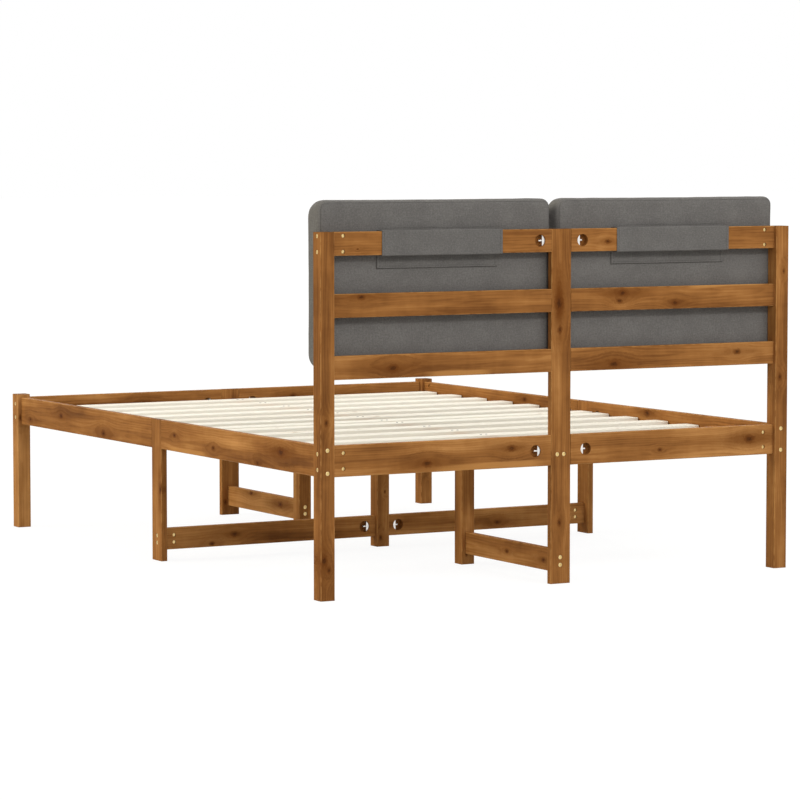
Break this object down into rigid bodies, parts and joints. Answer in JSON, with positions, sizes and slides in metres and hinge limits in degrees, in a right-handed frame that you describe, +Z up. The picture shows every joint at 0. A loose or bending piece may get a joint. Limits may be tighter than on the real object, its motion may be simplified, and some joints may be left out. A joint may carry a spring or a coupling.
{
  "type": "slatted bed frame",
  "caption": "Wooden platform bed frame on legs with an open slatted headboard, a slat base and two padded headboard cushions hung over the top rail.",
  "frame": {"origin": "on the floor, at the centre of the bed's footprint", "axes": "+X to the right as seen from the foot of the bed, +Y towards the headboard along the bed's length, +Z up"},
  "size_m": [1.432, 1.97, 1.007],
  "materials": {
    "stained_wood": "softwood stained honey brown with a satin lacquer",
    "pale_wood": "planed pale softwood, unfinished",
    "brass_plated_steel": "yellow plated steel",
    "zinc_plated_steel": "bright zinc plated steel",
    "grey_fabric": "dark grey coarse woven polyester with a linen look",
    "foam": "open cell cushion foam"
  },
  "bodies": {
    "frame": {"head_post_left": "stained_wood", "head_post_right": "stained_wood", "head_post_middle": "stained_wood", "headboard_top_rail_left": "stained_wood", "headboard_top_rail_right": "stained_wood", "headboard_middle_rail_left": "stained_wood", "headboard_middle_rail_right": "stained_wood", "headboard_lower_rail_left": "stained_wood", "headboard_lower_rail_right": "stained_wood", "head_rail_left": "stained_wood", "head_rail_right": "stained_wood", "foot_post_left": "stained_wood", "foot_post_right": "stained_wood", "foot_post_middle": "stained_wood", "foot_rail_left": "stained_wood", "foot_rail_right": "stained_wood", "side_rail_left_head": "stained_wood", "side_rail_left_foot": "stained_wood", "side_rail_right_head": "stained_wood", "side_rail_right_foot": "stained_wood", "side_leg_left": "stained_wood", "side_leg_right": "stained_wood", "centre_leg_head": "stained_wood", "centre_leg_middle": "stained_wood", "centre_leg_foot": "stained_wood", "cross_stretcher_left": "stained_wood", "cross_stretcher_right": "stained_wood", "long_stretcher_head": "stained_wood", "long_stretcher_foot": "stained_wood", "centre_beam_head": "stained_wood", "centre_beam_foot": "stained_wood", "ledgers_left": "stained_wood", "ledgers_right": "stained_wood", "slat_01": "pale_wood", "slat_02": "pale_wood", "slat_03": "pale_wood", "slat_04": "pale_wood", "slat_05": "pale_wood", "slat_06": "pale_wood", "slat_07": "pale_wood", "slat_08": "pale_wood", "slat_09": "pale_wood", "slat_10": "pale_wood", "slat_11": "pale_wood", "slat_12": "pale_wood", "slat_13": "pale_wood", "post_bolts": "brass_plated_steel", "barrel_nuts": "brass_plated_steel", "joining_studs": "zinc_plated_steel", "half_moon_nuts": "zinc_plated_steel", "wood_screws": "zinc_plated_steel", "dowels": "pale_wood"},
    "strap_left": {"cushion_strap_left": "grey_fabric"},
    "cushion_left": {"cushion_cover_left": "grey_fabric", "cushion_foam_left": "foam", "cushion_patch_left": "grey_fabric"},
    "strap_right": {"cushion_strap_right": "grey_fabric"},
    "cushion_right": {"cushion_cover_right": "grey_fabric", "cushion_foam_right": "foam", "cushion_patch_right": "grey_fabric"}
  },
  "joints": [
    {"name": "cushion_slide_left", "type": "slide", "parent": "frame", "child": "strap_left", "axis": [-1, 0, 0], "range_m": [-0.006, 0.14]},
    {"name": "cushion_lift_left", "type": "hinge", "parent": "strap_left", "child": "cushion_left", "pos_m": [-0.348, 0.94485, 0.9303], "axis": [-1, 0, 0], "range_deg": [0, 80]},
    {"name": "cushion_slide_right", "type": "slide", "parent": "frame", "child": "strap_right", "axis": [1, 0, 0], "range_m": [-0.006, 0.14]},
    {"name": "cushion_lift_right", "type": "hinge", "parent": "strap_right", "child": "cushion_right", "pos_m": [0.357, 0.94485, 0.9303], "axis": [-1, 0, 0], "range_deg": [0, 80]}
  ]
}
